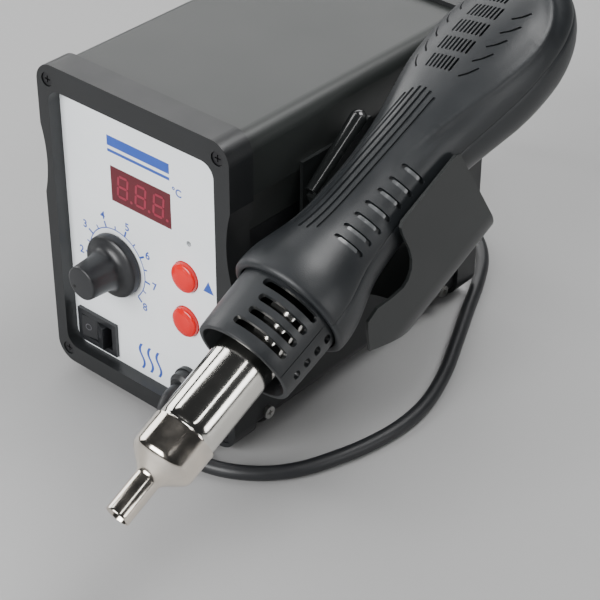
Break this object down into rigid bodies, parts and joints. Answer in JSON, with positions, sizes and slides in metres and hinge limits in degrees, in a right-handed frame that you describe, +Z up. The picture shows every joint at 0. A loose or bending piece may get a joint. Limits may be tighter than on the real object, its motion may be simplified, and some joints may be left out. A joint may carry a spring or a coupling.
{
  "type": "hot air station",
  "caption": "Bench hot air rework station: black metal case with white control panel, side holder and corded hot air handset.",
  "frame": {"origin": "middle of the station and its stored handset in plan, on the table that the feet stand on", "axes": "+Z up, front panel faces -Y, holder and handset on the +X side"},
  "size_m": [0.1592, 0.351, 0.184],
  "materials": {
    "bezel_black": "satin",
    "case_grey": "satin",
    "case_black": "satin",
    "panel_white": "satin",
    "rear_black": "matte",
    "display_red": "gloss",
    "button_red": "gloss",
    "knob_black": "satin",
    "switch_black": "satin",
    "black_plastic": "satin",
    "pale_plastic": "matte",
    "blue_plastic": "satin",
    "handle_black": "satin",
    "rubber": "matte",
    "cord_black": "satin",
    "holder_black": "satin",
    "nickel": "gloss",
    "steel": "satin",
    "screw_black": "satin",
    "board_green": "satin",
    "brass": "satin",
    "copper": "satin",
    "aluminium": "satin",
    "capacitor_blue": "satin",
    "fuse_glass": "gloss",
    "mica": "satin",
    "ceramic": "matte",
    "heater_wire": "matte"
  },
  "bodies": {
    "station": {"front_bezel": "bezel_black", "rear_bezel": "bezel_black", "top_cover": "case_grey", "base_tray": "case_black", "chassis_plate": "steel", "feet": "rubber", "feet_screws": "steel", "front_bezel_screws": "screw_black", "rear_bezel_screws": "screw_black", "side_screws": "steel", "front_panel": "panel_white", "display_window": "display_red", "display_module": "pale_plastic", "control_board": "board_green", "board_posts": "brass", "tact_switches": "black_plastic", "cal_trimmer": "blue_plastic", "pot_body": "steel", "pot_nut": "steel", "switch_frame": "switch_black", "cord_gland": "black_plastic", "gland_nut": "black_plastic", "rear_panel": "rear_black", "mains_inlet": "black_plastic", "inlet_pins": "steel", "transformer_core": "steel", "transformer_coil": "copper", "power_board": "board_green", "board_standoffs": "brass", "triac_heatsink": "aluminium", "capacitors": "capacitor_blue", "cradle": "holder_black", "cradle_bracket": "holder_black", "cradle_screws": "steel", "cradle_magnet": "steel", "gun_cord": "cord_black"},
    "handset": {"handle_top": "handle_black", "handle_bottom": "handle_black", "handle_screws": "steel", "barrel_guard": "handle_black", "barrel_tube": "nickel", "mica_sleeve": "mica", "heater_former": "ceramic", "heater_coil": "heater_wire", "thermocouple": "steel", "heater_flange": "steel", "blower_housing": "black_plastic", "blower_motor": "steel", "reed_board": "board_green", "cord_boot": "rubber"},
    "nozzle": {"nozzle": "nickel"},
    "blower_wheel": {"blower_wheel": "black_plastic"},
    "air_knob": {"air_knob": "knob_black", "pot_shaft": "steel"},
    "up_button": {"up_button": "button_red"},
    "down_button": {"down_button": "button_red"},
    "switch_rocker": {"switch_rocker": "switch_black"},
    "cal_rotor": {"cal_trimmer_rotor": "pale_plastic"},
    "fuse_drawer": {"fuse_drawer": "black_plastic", "fuse": "fuse_glass"}
  },
  "joints": [
    {"name": "handset_lift", "type": "slide", "parent": "station", "child": "handset", "axis": [0, -0.4226, 0.9063], "range_m": [0, 0.08]},
    {"name": "nozzle_pull", "type": "slide", "parent": "handset", "child": "nozzle", "axis": [0, -0.9063, -0.4226], "range_m": [0, 0.02]},
    {"name": "blower_spin", "type": "hinge", "parent": "handset", "child": "blower_wheel", "pos_m": [0.05087, 0.06668, 0.14042], "axis": [-0.2079, -0.4134, 0.8865], "continuous": true},
    {"name": "air_turn", "type": "hinge", "parent": "station", "child": "air_knob", "pos_m": [-0.04553, -0.03997, 0.0599], "axis": [0, 1, 0], "range_deg": [-17, 253]},
    {"name": "up_press", "type": "slide", "parent": "station", "child": "up_button", "axis": [0, 1, 0], "range_m": [0, 0.001], "stiffness_N_per_m": 800, "springref_m": -0.0005},
    {"name": "down_press", "type": "slide", "parent": "station", "child": "down_button", "axis": [0, 1, 0], "range_m": [0, 0.001], "stiffness_N_per_m": 800, "springref_m": -0.0005},
    {"name": "power_rock", "type": "hinge", "parent": "station", "child": "switch_rocker", "pos_m": [-0.05863, -0.03497, 0.021], "axis": [0, 0, 1], "range_deg": [0, 18]},
    {"name": "cal_turn", "type": "hinge", "parent": "station", "child": "cal_rotor", "pos_m": [-0.00523, -0.03337, 0.0864], "axis": [0, 1, 0], "range_deg": [-135, 135]},
    {"name": "fuse_pull", "type": "slide", "parent": "station", "child": "fuse_drawer", "axis": [0, 1, 0], "range_m": [0, 0.014]}
  ]
}
